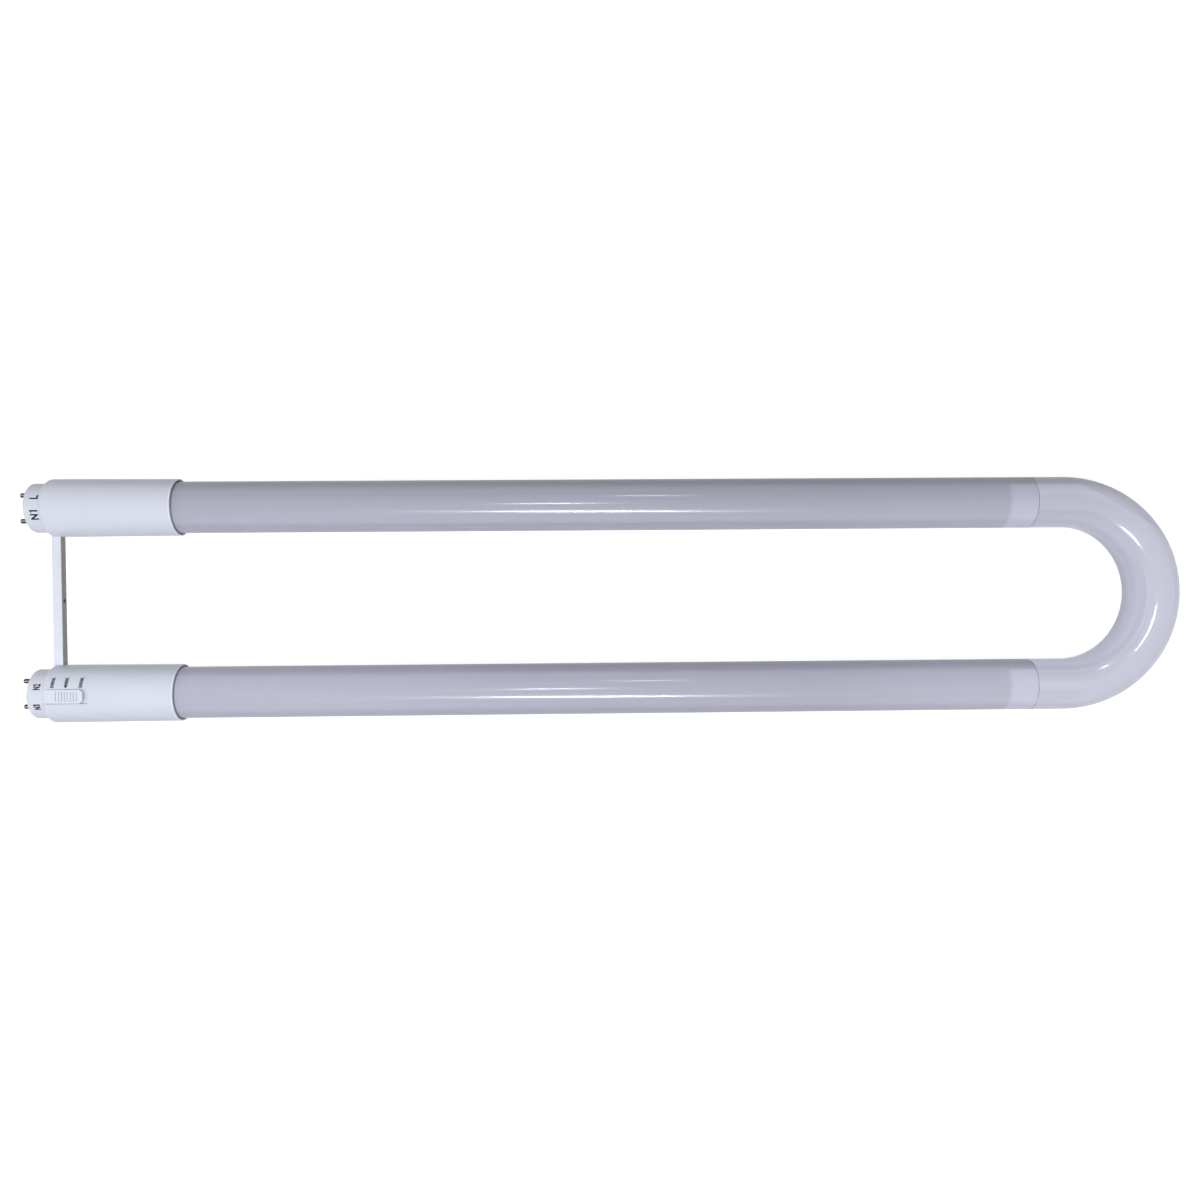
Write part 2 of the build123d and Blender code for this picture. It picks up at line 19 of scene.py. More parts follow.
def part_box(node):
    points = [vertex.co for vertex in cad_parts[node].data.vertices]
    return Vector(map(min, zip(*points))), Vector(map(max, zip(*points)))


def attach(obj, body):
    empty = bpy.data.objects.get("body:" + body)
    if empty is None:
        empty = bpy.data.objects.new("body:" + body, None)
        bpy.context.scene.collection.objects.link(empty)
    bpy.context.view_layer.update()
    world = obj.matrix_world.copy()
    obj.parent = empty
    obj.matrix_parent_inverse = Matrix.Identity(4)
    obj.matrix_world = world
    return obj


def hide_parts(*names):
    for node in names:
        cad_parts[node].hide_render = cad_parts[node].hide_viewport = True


bl_info = {
    "name": "U-bend LED tube",
    "version": (1, 0, 0),
    "blender": (4, 5, 0),
    "location": "View3D > Sidebar > Lamp",
    "description": "Finishes, printed marks, sealant and stage for a U-bend LED tube",
    "category": "Object",
}

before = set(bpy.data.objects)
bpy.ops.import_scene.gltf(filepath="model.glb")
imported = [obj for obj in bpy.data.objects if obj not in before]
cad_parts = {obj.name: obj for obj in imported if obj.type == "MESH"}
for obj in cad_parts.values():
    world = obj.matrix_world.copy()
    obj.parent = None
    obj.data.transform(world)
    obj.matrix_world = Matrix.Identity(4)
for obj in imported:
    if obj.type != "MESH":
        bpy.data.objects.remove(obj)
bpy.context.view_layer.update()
MM = 0.001

# Stations along the legs and sizes across them, from the CAD nodes
CAP_LOW, CAP_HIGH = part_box("end_cap_a")
LEG_LOW, LEG_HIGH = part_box("leg_tube_a")
BEND_LOW, BEND_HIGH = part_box("u_bend")
BASE_X = CAP_LOW.x
MOUTH_X = CAP_HIGH.x
SEAM_X = LEG_HIGH.x
SPIGOT_X = BEND_LOW.x
LEG_Y = (LEG_LOW.y + LEG_HIGH.y) / 2
AXIS_Z = (LEG_LOW.z + LEG_HIGH.z) / 2
TUBE_R = (LEG_HIGH.z - LEG_LOW.z) / 2
COLLAR_R = (CAP_HIGH.z - CAP_LOW.z) / 2
BEND_X = BEND_HIGH.x - LEG_Y - TUBE_R
SIDES = {"a": 1, "b": -1}

# How far from an end its sizes are read
NOSE_READ = 1.5 * MM
RIM_READ = 1.0 * MM
BAR_READ = 8.0 * MM


def points(node):
    """The places of a CAD node's vertices."""
    return [vert.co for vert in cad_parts[node].data.vertices]


def reach(node, start, end):
    """The least and the largest distance from leg A's axis that a CAD node has between two stations along it."""
    away = [math.hypot(co.y - LEG_Y, co.z - AXIS_Z) for co in points(node) if start <= co.x <= end and co.y > 0]
    return min(away), max(away)


def bar_face():
    """The station of the bar's side that faces the bend, read at its end, clear of the nub in its middle."""
    places = points("spacer_bar")
    end = max(co.y for co in places) - BAR_READ
    return max(co.x for co in places if co.y > end)


NOSE_R = reach("end_cap_a", BASE_X, BASE_X + NOSE_READ)[1]
BORE_R = reach("leg_tube_a", SEAM_X - RIM_READ, SEAM_X)[0]
BEND_BORE_R, SPIGOT_R = reach("u_bend", SPIGOT_X, SPIGOT_X + RIM_READ)
PIN_LOW, PIN_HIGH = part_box("pin_l")
PIN_OFF = (PIN_LOW.y + PIN_HIGH.y) / 2 - LEG_Y
PIN_R = max(co.z for co in points("pin_l") if co.x < BASE_X - RIM_READ) - AXIS_Z
SLIDER_LOW, SLIDER_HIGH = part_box("switch_slider")
SLIDER_R = SLIDER_HIGH.z - AXIS_Z
BAR_SIDE_X = bar_face()


class Value:
    """A shader socket that takes part in ordinary arithmetic, where each step adds its Math node."""

    def __init__(self, paint, socket):
        self.paint = paint
        self.socket = socket

    def __add__(self, other):
        return self.paint.math("ADD", self, other)

    def __radd__(self, other):
        return self.paint.math("ADD", other, self)

    def __sub__(self, other):
        return self.paint.math("SUBTRACT", self, other)

    def __rsub__(self, other):
        return self.paint.math("SUBTRACT", other, self)

    def __mul__(self, other):
        return self.paint.math("MULTIPLY", self, other)

    def __rmul__(self, other):
        return self.paint.math("MULTIPLY", other, self)

    def __truediv__(self, other):
        return self.paint.math("DIVIDE", self, other)

    def __rtruediv__(self, other):
        return self.paint.math("DIVIDE", other, self)


class Paint:
    """The nodes of one material or world, with the few patterns that the finishes share."""

    MIX_COLOUR = {"factor": 0, "a": 6, "b": 7, "out": 2}

    def __init__(self, owner):
        self.owner = owner
        owner.use_nodes = True
        self.tree = owner.node_tree
        self.tree.nodes.clear()

    def node(self, kind, settings=None, sockets=None, out=None):
        """Any node: its settings, then its sockets' values or links. Gives one output as a Value, or the node."""
        made = self.tree.nodes.new(kind)
        for name, setting in (settings or {}).items():
            setattr(made, name, setting)
        for name, given in (sockets or {}).items():
            if isinstance(given, Value):
                self.tree.links.new(given.socket, made.inputs[name])
            else:
                made.inputs[name].default_value = given
        return made if out is None else Value(self, made.outputs[out])

    def math(self, operation, *values):
        """A Math node on one or two values."""
        return self.node("ShaderNodeMath", {"operation": operation}, dict(enumerate(values)), out=0)

    def place(self):
        """Object coordinates, which are the model's own metres, as x, y and z."""
        coordinates = self.node("ShaderNodeTexCoord", out="Object")
        split = self.node("ShaderNodeSeparateXYZ", sockets={0: coordinates})
        return [Value(self, socket) for socket in split.outputs]

    def vector(self, x, y, z):
        return self.node("ShaderNodeCombineXYZ", sockets={0: x, 1: y, 2: z}, out=0)

    def noise(self, vector, scale=1.0, detail=3.0, roughness=0.55):
        """Noise from 0 to 1 about a half."""
        sockets = {"Vector": vector, "Scale": scale, "Detail": detail, "Roughness": roughness}
        return self.node("ShaderNodeTexNoise", {"noise_dimensions": "3D"}, sockets, out=0)

    def grain(self, place, cells, detail):
        """Noise with so many cells in a metre along x, y and z."""
        return self.noise(self.vector(*(part * count for part, count in zip(place, cells))), detail=detail)

    def rise(self, value, start, end):
        """0 before start, 1 after end and smooth between them. End may be the lower one."""
        sockets = {"Value": value, "From Min": start, "From Max": end}
        return self.node("ShaderNodeMapRange", {"interpolation_type": "SMOOTHSTEP"}, sockets, out=0)

    def between(self, value, start, end, soft):
        """1 from start to end with soft borders, and 0 elsewhere."""
        return self.rise(value, start - soft, start + soft) * self.rise(value, end + soft, end - soft)

    def size_of(self, value):
        return self.math("ABSOLUTE", value)

    def sign_of(self, value):
        return self.math("SIGN", value)

    def root_of(self, value):
        return self.math("SQRT", value)

    def larger_of(self, first, second):
        return self.math("MAXIMUM", first, second)

    def blend(self, factor, first, second):
        """A colour between two."""
        key = self.MIX_COLOUR
        sockets = {key["factor"]: factor, key["a"]: as_colour(first), key["b"]: as_colour(second)}
        return self.node("ShaderNodeMix", {"data_type": "RGBA"}, sockets, out=key["out"])

    def shade(self, colour, amount):
        """A colour times a value that varies."""
        grey = self.node("ShaderNodeCombineColor", sockets={0: amount, 1: amount, 2: amount}, out=0)
        key = self.MIX_COLOUR
        sockets = {key["factor"]: 1.0, key["a"]: as_colour(colour), key["b"]: grey}
        settings = {"data_type": "RGBA", "blend_type": "MULTIPLY"}
        return self.node("ShaderNodeMix", settings, sockets, out=key["out"])

    def bump(self, height, strength, distance):
        sockets = {"Height": height, "Strength": strength, "Distance": distance}
        return self.node("ShaderNodeBump", sockets=sockets, out=0)

    def finish(self, **sockets):
        """The Principled shader, with socket names written with underscores."""
        named = {name.replace("_", " "): given for name, given in sockets.items()}
        shader = self.node("ShaderNodeBsdfPrincipled", sockets=named, out=0)
        self.node("ShaderNodeOutputMaterial", sockets={0: shader})
        return self.owner


def rgba(colour):
    return (*tuple(colour)[:3], 1.0)


def as_colour(colour):
    return colour if isinstance(colour, Value) else rgba(colour)


def new_paint(name):
    return Paint(bpy.data.materials.new(name))


def dress(material, *nodes):
    """Gives a material to every slot of these CAD nodes."""
    for name in nodes:
        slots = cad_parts[name].material_slots
        if not slots:
            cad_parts[name].data.materials.append(material)
        for slot in slots:
            slot.material = material


def add_piece(name, mesh_maker, material, body):
    """A finished mesh as a piece that rides on a body."""
    mesh = bpy.data.meshes.new(name)
    mesh_maker.to_mesh(mesh)
    mesh_maker.free()
    mesh.materials.append(material)
    piece = bpy.data.objects.new(name, mesh)
    bpy.context.scene.collection.objects.link(piece)
    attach(piece, body)
    return piece


class GlassLook(PropertyGroup):
    """The frosted glass of the legs and the milky bend."""

    tint: FloatVectorProperty(
        name="Glass", description="Colour of the frosted legs", subtype="COLOR", default=(0.455, 0.460, 0.571)
    )
    bend_tint: FloatVectorProperty(
        name="Bend", description="Colour of the moulded bend", subtype="COLOR", default=(0.630, 0.640, 0.772)
    )
    spigot_tint: FloatVectorProperty(
        name="Spigot", description="Glass over the bend's spigot", subtype="COLOR", default=(0.566, 0.572, 0.716)
    )
    gloss: FloatProperty(
        name="Gloss", description="Weight of the clear gloss on the glass", subtype="FACTOR", default=0.12
    )
    streak_pitch: FloatProperty(
        name="Streak pitch", description="Width of the drawing lines", unit="LENGTH", default=1.6 * MM
    )


class PlasticLook(PropertyGroup):
    """The white moulded caps, bar and slider."""

    white: FloatVectorProperty(
        name="White", description="Colour of the moulded plastic", subtype="COLOR", default=(0.738, 0.772, 0.878)
    )
    # The colour of the painted shade on the bar's side that faces the bend and on the slider's grooves, edge and
    # end
    dull: FloatVectorProperty(
        name="Dull side", description="Colour of the bar's side", subtype="COLOR", default=(0.36, 0.355, 0.325)
    )
    # The colour of the dark spot on the bar's nub
    dark_spot: FloatVectorProperty(
        name="Soil", description="Colour of ingrained dirt", subtype="COLOR", default=(0.045, 0.042, 0.036)
    )
    grain: FloatProperty(
        name="Grain", description="Size of the moulded grain", unit="LENGTH", default=0.35 * MM
    )


class MetalLook(PropertyGroup):
    """The plated contact pins."""

    plating: FloatVectorProperty(
        name="Plating", description="Colour of the plated brass", subtype="COLOR", default=(0.036, 0.031, 0.026)
    )
    # The colour of the painted highlight along the pins' tops
    highlight_colour: FloatVectorProperty(
        name="Rubbed", description="Colour of the pins' streak", subtype="COLOR", default=(0.48, 0.45, 0.42)
    )
    tarnish: FloatVectorProperty(
        name="Tarnish", description="Colour of the dull patches", subtype="COLOR", default=(0.009, 0.008, 0.006)
    )


class MarkLook(PropertyGroup):
    """The printed marks on the caps."""

    ink: FloatVectorProperty(
        name="Ink", description="Colour of the print", subtype="COLOR", default=(0.016, 0.016, 0.026)
    )
    proud: FloatProperty(
        name="Ink height", description="How far the print stands proud", unit="LENGTH", default=0.02 * MM
    )
    sunk: FloatProperty(
        name="Ink depth", description="How far the print goes into the plastic", unit="LENGTH", default=0.03 * MM
    )


class SealLook(PropertyGroup):
    """The sealant where the glass meets the bend."""

    grey: FloatVectorProperty(
        name="Sealant", description="Colour of the sealant", subtype="COLOR", default=(0.15, 0.15, 0.17)
    )
    width: FloatProperty(
        name="Seal width", description="Width of the line of sealant", unit="LENGTH", default=0.42 * MM
    )


class StageLook(PropertyGroup):
    """Floor, light and camera."""

    floor: FloatProperty(
        name="Floor", description="How much light the floor throws back", subtype="FACTOR", default=0.25
    )
    sky: FloatProperty(
        name="Sky", description="Strength of the light from all round", min=0.0, default=0.08
    )
    lens: FloatProperty(
        name="Lens", description="Focal length on a 36 mm sensor", unit="CAMERA", default=28.44
    )


class LAMP_OT_draw_legs(Operator):
    """Draw the two glass legs"""

    bl_idname = "lamp.draw_legs"
    bl_label = "Glass legs"

    def execute(self, context):
        look = context.scene.lamp_glass
        material = frosted_glass(look)
        for leg, side in SIDES.items():
            piece = add_piece(f"glass_leg_{leg}", glass_leg(side), material, "lamp")
            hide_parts(f"leg_tube_{leg}")
        return {"FINISHED"}


class LAMP_OT_mould_bend(Operator):
    """Mould the bend with its two spigots"""

    bl_idname = "lamp.mould_bend"
    bl_label = "Bend"

    def execute(self, context):
        look = context.scene.lamp_glass
        piece = add_piece("moulded_bend", moulded_bend(), milky_bend(look), "lamp")
        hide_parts("u_bend")
        return {"FINISHED"}


# The walls' rims, the steps of their spins, the angle of a sharp corner and the distance of doubled points
RIM_ROUND = 0.2 * MM
RIM_SEGMENTS = 3
RIM_SUPPORT = 0.5 * MM
TUBE_STEPS = 160
BEND_STEPS = 120
SHARP = math.radians(40)
MERGE = 1e-7
NO_MERGE = -1.0


def wall_profile(corners, rounded):
    """The outline of a tube's wall above leg A's axis, with its rims rounded, as edges alone."""
    bm = bmesh.new()
    outline = [bm.verts.new((x, LEG_Y, AXIS_Z + radius)) for x, radius in corners]
    bm.faces.new(outline)
    bmesh.ops.bevel(
        bm, geom=[outline[number] for number in rounded], offset=RIM_ROUND, offset_type="OFFSET",
        segments=RIM_SEGMENTS, profile=0.5, affect="VERTICES", material=-1,
    )
    bmesh.ops.delete(bm, geom=bm.faces[:], context="FACES_ONLY")
    return bm


def hold_rims(bm, *stations):
    """Cuts the profile's long runs near its rims, so that the rims' rounding stays at the rims."""
    for station in stations:
        bmesh.ops.bisect_plane(bm, geom=bm.verts[:] + bm.edges[:], plane_co=(station, 0, 0), plane_no=(1, 0, 0))


def spin_wall(bm):
    """Spins the profile once round leg A's axis."""
    bmesh.ops.spin(
        bm, geom=bm.verts[:] + bm.edges[:], cent=(0, LEG_Y, AXIS_Z), axis=(1, 0, 0), angle=2 * math.pi,
        steps=TUBE_STEPS, use_merge=True,
    )
    bmesh.ops.remove_doubles(bm, verts=bm.verts[:], dist=MERGE)


def smooth_wall(bm):
    """Faces outwards and smooth, with the square corners kept sharp."""
    bmesh.ops.remove_doubles(bm, verts=bm.verts[:], dist=MERGE)
    bmesh.ops.recalc_face_normals(bm, faces=bm.faces[:])
    for face in bm.faces:
        face.smooth = True
    for edge in bm.edges:
        edge.smooth = edge.calc_face_angle(0.0) < SHARP


def glass_leg(side):
    """A glass leg, from its stop inside the cap to its seam with the bend."""
    start = LEG_LOW.x
    corners = ((start, BORE_R), (start, TUBE_R), (SEAM_X, TUBE_R), (SEAM_X, BORE_R))
    bm = wall_profile(corners, (1, 2))
    hold_rims(bm, start + RIM_SUPPORT, SEAM_X - RIM_SUPPORT)
    spin_wall(bm)
    if side < 0:
        bmesh.ops.translate(bm, verts=bm.verts[:], vec=(0, -2 * LEG_Y, 0))
    smooth_wall(bm)
    return bm


def moulded_bend():
    """The half-round bend: an arm with its spigot, the arm mirrored, and its end swept round between them."""
    corners = (
        (SPIGOT_X, BEND_BORE_R), (SPIGOT_X, SPIGOT_R), (SEAM_X, SPIGOT_R), (SEAM_X, TUBE_R), (BEND_X, TUBE_R),
        (BEND_X, BEND_BORE_R),
    )
    bm = wall_profile(corners, (1, 3))
    end = [edge for edge in bm.edges if all(v.co.x > BEND_X - RIM_ROUND for v in edge.verts)]
    bmesh.ops.delete(bm, geom=end, context="EDGES")
    hold_rims(bm, SPIGOT_X + RIM_SUPPORT, SEAM_X + RIM_SUPPORT)
    spin_wall(bm)
    arm = bm.verts[:] + bm.edges[:] + bm.faces[:]
    rims = [edge for edge in bm.edges if edge.is_boundary]
    rims += list({vert for edge in rims for vert in edge.verts})
    bmesh.ops.mirror(bm, geom=arm, axis="Y", merge_dist=NO_MERGE)
    bmesh.ops.spin(
        bm, geom=rims, cent=(BEND_X, 0, AXIS_Z), axis=(0, 0, -1), angle=math.pi, steps=BEND_STEPS,
        use_merge=False,
    )
    smooth_wall(bm)
    return bm


# The clear gloss on the glass and the bend: its index, its blur on each, and the duller shine below it
GLOSS_IOR = 2.5
LEG_BLUR = 0.13
BEND_BLUR = 0.10
UNDER_GLOSS = 0.15

# Cells in a metre of the drawing lines' and the clouds' noise, and the bend's lines against the glass's
LINE_CELLS = 2.0
GLASS_CLOUDS = (9.0, 30.0, 30.0)
BEND_CLOUDS = (22.0, 22.0, 40.0)
BEND_PITCH = 1.3

# Where the glass changes along a leg, each from none to full: the spigot's band, and painted shade at the mouth
# and in the middle
SPIGOT_BAND = (SPIGOT_X - 1.0 * MM, SPIGOT_X + 2.5 * MM)
MOUTH_SHADE = (MOUTH_X + 9.0 * MM, MOUTH_X)
MOUTH_SHADOW_LINE = (MOUTH_X + 0.9 * MM, MOUTH_X + 0.2 * MM)
MIDDLE_SHADE_START = (-150 * MM, 50 * MM)
MIDDLE_SHADE_END = (185 * MM, 95 * MM)

# Outer band past this share of the radius, soft-bordered: the bend's painted shade, and where the legs' spigot
# band stops
OUTER_BAND = 0.66
OUTER_BAND_SOFT = 0.6 * MM

# Where the bend's painted light and shade change, past its straight arms and from its middle towards leg A, each
# from none to full
ARM_PAST = (8.0 * MM, 0.0)
START_PAST = (40.0 * MM, 5.0 * MM)
START_SIDE = (10.0 * MM, 30.0 * MM)
OUTER_SHADE_IN = (3.0 * MM, 22.0 * MM)
OUTER_SHADE_OUT = (26.0 * MM, 52.0 * MM)
OUTER_SHADE_SIDE = (-4.0 * MM, 10.0 * MM)

# Keeps the angle of the bend's turn steady along its straight arms
TURN_EASE = 1.0 * MM


def frosted_glass(look):
    """Frosted glass: drawing lines, a lighter band over the spigot, a darker end in the cap's mouth and a dark
    line at it as painted shade, and painted light and shade along the legs.
    """
    paint = new_paint("frosted_glass")
    place = paint.place()
    x, y, z = place
    lines = paint.noise(paint.vector(x * LINE_CELLS, y / look.streak_pitch, z / look.streak_pitch), detail=3.0)
    clouds = paint.grain(place, GLASS_CLOUDS, detail=2.0)
    off_axis = paint.size_of(y) - LEG_Y
    to_far = paint.sign_of(y) * off_axis
    clear_of_outer_band = paint.rise(to_far, OUTER_BAND * TUBE_R + OUTER_BAND_SOFT, OUTER_BAND * TUBE_R - OUTER_BAND_SOFT)
    over_spigot = paint.rise(x, *SPIGOT_BAND) * clear_of_outer_band
    colour = paint.blend(over_spigot, look.tint, look.spigot_tint)
    # Painted shade on the glass near the cap's mouth, and a dark line of painted shadow right at the mouth
    shade_near_mouth = paint.rise(x, *MOUTH_SHADE)
    shadow_at_mouth = paint.rise(x, *MOUTH_SHADOW_LINE)
    # Painted light and shade: leg B lighter, the middle of each leg darker, and the sides that face into the U
    # lighter
    leg_b = paint.rise(y, LEG_Y, -LEG_Y)
    middle = paint.rise(x, *MIDDLE_SHADE_START) * paint.rise(x, *MIDDLE_SHADE_END)
    inner = paint.rise(off_axis, 0.15 * TUBE_R, -TUBE_R)
    grain_and_shade = 0.94 + lines * 0.08 + clouds * 0.05 - shade_near_mouth * 0.07 - shadow_at_mouth * 0.35
    tone_and_light = grain_and_shade * (1.0 + leg_b * 0.08 - middle * (0.06 + leg_b * 0.06) + inner * (0.05 + leg_b * 0.10))
    return paint.finish(
        Base_Color=paint.shade(colour, tone_and_light),
        Roughness=0.30 + lines * 0.12,
        Specular_IOR_Level=UNDER_GLOSS,
        Coat_Weight=look.gloss * clear_rim(paint) * (0.93 + clouds * 0.14),
        Coat_Roughness=LEG_BLUR,
        Coat_IOR=GLOSS_IOR,
    )


def clear_rim(paint):
    """1 where the gloss is seen face on, and less at the rim, where the wall's own depth shows instead."""
    facing = paint.node("ShaderNodeLayerWeight", sockets={"Blend": 0.5}, out="Facing")
    return 1.0 - paint.rise(facing, 0.55, 0.95) * 0.6


def milky_bend(look):
    """The bend's milky plastic: flow lines that follow the bend, soft clouds, and painted light and shade in
    bands along it.
    """
    paint = new_paint("milky_bend")
    place = paint.place()
    x, y, z = place
    past, across, along = bend_place(paint, x, y)
    off = (across - LEG_Y) / TUBE_R
    pitch = look.streak_pitch * BEND_PITCH
    lines = paint.noise(paint.vector(along * LINE_CELLS, across / pitch, z / pitch), detail=4.0)
    clouds = paint.grain(place, BEND_CLOUDS, detail=2.0)
    flow = paint.between(off, -0.60, -0.55, 0.03) * paint.rise(y / LEG_Y, 0.45, 0.10) * 0.10
    # Painted shade: a darker band along the outer side towards leg A, a line at its border, and a darker outer
    # rim
    outer_shade, seam = painted_outer_shade(paint, past, off, y)
    rim = paint.rise(off, 0.93, 0.98)
    grain_and_shade = 0.91 + lines * 0.16 + clouds * 0.04 + flow - outer_shade * 0.07 - seam * 0.06 - rim * 0.14
    return paint.finish(
        Base_Color=paint.shade(look.bend_tint, grain_and_shade * painted_bend_light(paint, past, off, y)),
        Roughness=0.26 + clouds * 0.1,
        Specular_IOR_Level=UNDER_GLOSS,
        Coat_Weight=look.gloss * clear_rim(paint) * (0.95 + clouds * 0.1),
        Coat_Roughness=BEND_BLUR,
        Coat_IOR=GLOSS_IOR,
    )


def bend_place(paint, x, y):
    """How far a point is past the bend's straight arms, from the middle of its turn, and along the bend."""
    past = paint.larger_of(x - BEND_X, 0.0)
    before = x - BEND_X - past
    across = paint.root_of(past * past + y * y)
    turn = paint.math("ARCTAN2", y, past + TURN_EASE)
    return past, across, turn * LEG_Y + before


def painted_bend_light(paint, past, off, y):
    """Painted light and shade in bands that follow the bend, as a share of its tint. Off is in radii from its
    axis.
    """
    side = y / LEG_Y
    arm = paint.rise(past, *ARM_PAST)
    inside = paint.rise(off, -0.68, -0.88) * (0.27 - side * 0.45)
    within = paint.between(off, -0.76, -0.38, 0.12) * (0.07 - side * (0.115 + side * 0.23))
    outside = paint.between(off, 0.10, 0.70, 0.15) * (0.05 + side * 0.06 - arm * 0.06)
    # A painted highlight along the inner rim
    inner_rim_light = paint.rise(off, -0.92, -0.99) * 0.16
    start_a = paint.rise(past, *START_PAST) * paint.rise(y, *START_SIDE)
    middle = paint.between(off, -0.35, 0.25, 0.12) * start_a * -0.10
    return 1.0 + inside + within + outside + middle + inner_rim_light


def painted_outer_shade(paint, past, off, y):
    """Painted shade: a darker band along the bend's outer side towards leg A, and a line along the border of that
    band.
    """
    border = OUTER_BAND - paint.rise(past, *OUTER_SHADE_IN) * 0.40 + paint.rise(past, *OUTER_SHADE_OUT) * 0.45
    outer_shade = paint.rise(off - border, -0.05, 0.05) * paint.rise(y, *OUTER_SHADE_SIDE)
    return outer_shade, outer_shade * paint.rise(off - border, 0.14, 0.04)


class LAMP_OT_dress_caps(Operator):
    """Finish the caps, the spacer bar and the switch's slider"""

    bl_idname = "lamp.dress_caps"
    bl_label = "Caps, bar and slider"

    def execute(self, context):
        look = context.scene.lamp_plastic
        # Painted highlight at the caps' mouth, painted shade on the bar's side and the slider, and a dark spot on
        # the bar's nub
        caps = moulded_plastic("cap_plastic", look, highlight=mouth_rim_highlight)
        bar = moulded_plastic("bar_plastic", look, brightness=1.08, painted_shade=bar_shaded_side, dark_spot=nub_dark_spot)
        slider = moulded_plastic("slider_plastic", look, brightness=1.06, painted_shade=slider_painted_shade)
        dress(caps, "end_cap_a", "end_cap_b")
        dress(bar, "spacer_bar")
        dress(slider, "switch_slider")
        return {"FINISHED"}


# The plastic's clouds, as cells in a metre, and the depth of its grain
PLASTIC_CLOUDS = (40.0, 60.0, 60.0)
GRAIN_DEPTH = 0.03 * MM

# Where the plastic gets painted highlight, painted shade and a dark spot, each from none to full
MOUTH_HIGHLIGHT = (MOUTH_X - 0.80 * MM, MOUTH_X - 0.25 * MM)
MOUTH_HIGHLIGHT_SOFT = 0.15 * MM
BAR_SHADE = (BAR_SIDE_X - 0.25 * MM, BAR_SIDE_X - 0.05 * MM)
NUB_SPOT = (1.1 * MM, 0.8 * MM)
GROOVE_SHADE = (SLIDER_R - 0.12 * MM, SLIDER_R - 0.36 * MM)
EDGE_SHADOW = (SLIDER_LOW.y + 0.32 * MM, SLIDER_LOW.y + 0.12 * MM)
END_SHADE = (SLIDER_HIGH.x - 0.35 * MM, SLIDER_HIGH.x - 0.1 * MM)


def moulded_plastic(name, look, brightness=1.0, painted_shade=None, highlight=None, dark_spot=None):
    """Satin white plastic with a fine grain and faint clouds, and the given patterns of painted highlight,
    painted shade and dark spot.
    """
    paint = new_paint(name)
    place = paint.place()
    grain = paint.noise(paint.vector(*place), scale=1.0 / look.grain, detail=2.0)
    clouds = paint.grain(place, PLASTIC_CLOUDS, detail=2.0)
    tone_and_light = brightness * (0.965 + clouds * 0.05 + grain * 0.02)
    if highlight:
        tone_and_light = tone_and_light + highlight(paint, *place)
    colour = paint.shade(look.white, tone_and_light)
    if painted_shade:
        colour = paint.blend(painted_shade(paint, *place), colour, look.dull)
    if dark_spot:
        colour = paint.blend(dark_spot(paint, *place), colour, look.dark_spot)
    return paint.finish(
        Base_Color=colour,
        Roughness=0.36 + grain * 0.12,
        Specular_IOR_Level=0.35,
        Normal=paint.bump(grain, 0.12, GRAIN_DEPTH),
    )


def mouth_rim_highlight(paint, x, y, z):
    """A painted highlight along the caps' edge at the mouth."""
    return paint.between(x, *MOUTH_HIGHLIGHT, MOUTH_HIGHLIGHT_SOFT) * 0.16


def bar_shaded_side(paint, x, y, z):
    """Painted shade on the side of the bar that faces the bend."""
    return paint.rise(x, *BAR_SHADE)


def nub_dark_spot(paint, x, y, z):
    """A dark spot on the nub in the middle of the bar's side that faces the bend."""
    off_z = z - AXIS_Z
    across = paint.root_of(y * y + off_z * off_z)
    return paint.rise(across, *NUB_SPOT) * bar_shaded_side(paint, x, y, z) * 0.9


def slider_painted_shade(paint, x, y, z):
    """Painted shade in the slider's grooves and round its inner end, and a painted shadow along its lower edge.
    """
    off_y = y + LEG_Y
    off_z = z - AXIS_Z
    radius = paint.root_of(off_y * off_y + off_z * off_z)
    groove = paint.rise(radius, *GROOVE_SHADE)
    edge = paint.rise(y, *EDGE_SHADOW)
    end = paint.rise(x, *END_SHADE)
    return groove * 0.24 + edge * 0.45 + end * 0.2


class LAMP_OT_dress_pins(Operator):
    """Finish the contact pins and the pins that link the boards"""

    bl_idname = "lamp.dress_pins"
    bl_label = "Pins"

    def execute(self, context):
        look = context.scene.lamp_metal
        material = plated_metal(look)
        dress(material, "pin_l", "pin_n1", "pin_n2", "pin_n3", "link_pins_a", "link_pins_b")
        return {"FINISHED"}


# The pins' turning lines and tarnish, as cells in a metre, the lines' depth, and the painted highlight streak
# along a pin's top
TURNING_LINES = (9000.0, 300.0, 300.0)
TURNING_DEPTH = 0.02 * MM
TARNISH_CELLS = 900.0
STREAK_BAND = (-0.24 * PIN_R, 0.24 * PIN_R)
STREAK_SOFT = 0.12 * PIN_R
STREAK_RISE = (AXIS_Z + 0.3 * PIN_R, AXIS_Z + 0.7 * PIN_R)


def plated_metal(look):
    """Dull plated brass: turning lines round the pin, tarnished patches and a painted highlight streak along its
    top.
    """
    paint = new_paint("plated_metal")
    place = paint.place()
    _, y, z = place
    turning = paint.grain(place, TURNING_LINES, detail=2.0)
    patches = paint.noise(paint.vector(*place), scale=TARNISH_CELLS, detail=3.0)
    dull = paint.rise(patches, 0.42, 0.62)
    off_pin = paint.size_of(paint.size_of(y) - LEG_Y) - PIN_OFF
    streak = paint.between(off_pin, *STREAK_BAND, STREAK_SOFT) * paint.rise(z, *STREAK_RISE)
    plating = paint.blend(dull, look.plating, look.tarnish)
    return paint.finish(
        Base_Color=paint.blend(streak * (1.0 - dull * 0.3), plating, look.highlight_colour),
        Metallic=1.0 - dull * 0.35,
        Roughness=0.22 + dull * 0.25,
        Normal=paint.bump(turning, 0.15, TURNING_DEPTH),
    )


